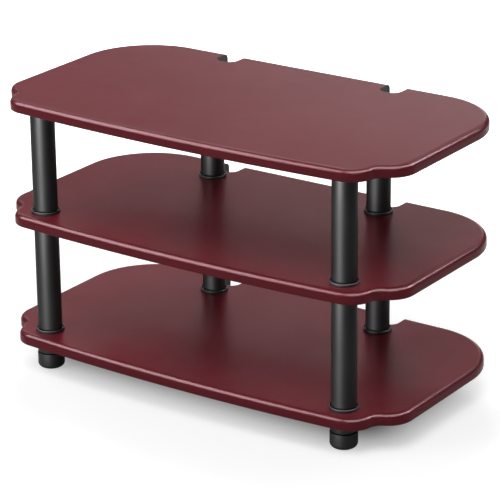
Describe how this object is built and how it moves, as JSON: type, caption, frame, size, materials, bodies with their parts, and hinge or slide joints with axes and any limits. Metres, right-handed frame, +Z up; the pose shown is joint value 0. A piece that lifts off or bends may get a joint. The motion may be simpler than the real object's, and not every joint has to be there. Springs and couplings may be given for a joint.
{
  "type": "audio-video stand",
  "caption": "Low audio-video stand with burgundy lacquered shelves that have waisted front corners and cable notches, carried on round black tube posts.",
  "frame": {"origin": "on the floor, under the middle of the shelves", "axes": "+X to the right of someone who faces the open front, +Y to the rear, +Z up"},
  "size_m": [0.72, 0.396, 0.4415],
  "materials": {
    "shelf_lacquer": "satin burgundy lacquer over a wood-fibre board",
    "post_tube": "satin black paint on steel tube",
    "black_moulding": "satin black moulded plastic",
    "stud_steel": "zinc plated",
    "insert_brass": "turned brass"
  },
  "bodies": {
    "root": {"top_shelf": "shelf_lacquer", "middle_shelf": "shelf_lacquer", "bottom_shelf": "shelf_lacquer", "upper_tube_front_left": "post_tube", "upper_tube_front_right": "post_tube", "upper_tube_rear_left": "post_tube", "upper_tube_rear_right": "post_tube", "lower_tube_front_left": "post_tube", "lower_tube_front_right": "post_tube", "lower_tube_rear_left": "post_tube", "lower_tube_rear_right": "post_tube", "upper_collar_front_left": "black_moulding", "upper_collar_front_right": "black_moulding", "upper_collar_rear_left": "black_moulding", "upper_collar_rear_right": "black_moulding", "lower_collar_front_left": "black_moulding", "lower_collar_front_right": "black_moulding", "lower_collar_rear_left": "black_moulding", "lower_collar_rear_right": "black_moulding", "upper_socket_front_left": "black_moulding", "upper_socket_front_right": "black_moulding", "upper_socket_rear_left": "black_moulding", "upper_socket_rear_right": "black_moulding", "lower_socket_front_left": "black_moulding", "lower_socket_front_right": "black_moulding", "lower_socket_rear_left": "black_moulding", "lower_socket_rear_right": "black_moulding", "top_stud_front_left": "stud_steel", "top_stud_front_right": "stud_steel", "top_stud_rear_left": "stud_steel", "top_stud_rear_right": "stud_steel", "middle_stud_front_left": "stud_steel", "middle_stud_front_right": "stud_steel", "middle_stud_rear_left": "stud_steel", "middle_stud_rear_right": "stud_steel", "bottom_stud_front_left": "stud_steel", "bottom_stud_front_right": "stud_steel", "bottom_stud_rear_left": "stud_steel", "bottom_stud_rear_right": "stud_steel", "top_insert_front_left": "insert_brass", "top_insert_front_right": "insert_brass", "top_insert_rear_left": "insert_brass", "top_insert_rear_right": "insert_brass", "foot_body_front_left": "black_moulding", "foot_body_front_right": "black_moulding", "foot_body_rear_left": "black_moulding", "foot_body_rear_right": "black_moulding", "foot_cap_front_left": "black_moulding", "foot_cap_front_right": "black_moulding", "foot_cap_rear_left": "black_moulding", "foot_cap_rear_right": "black_moulding"}
  },
  "joints": []
}
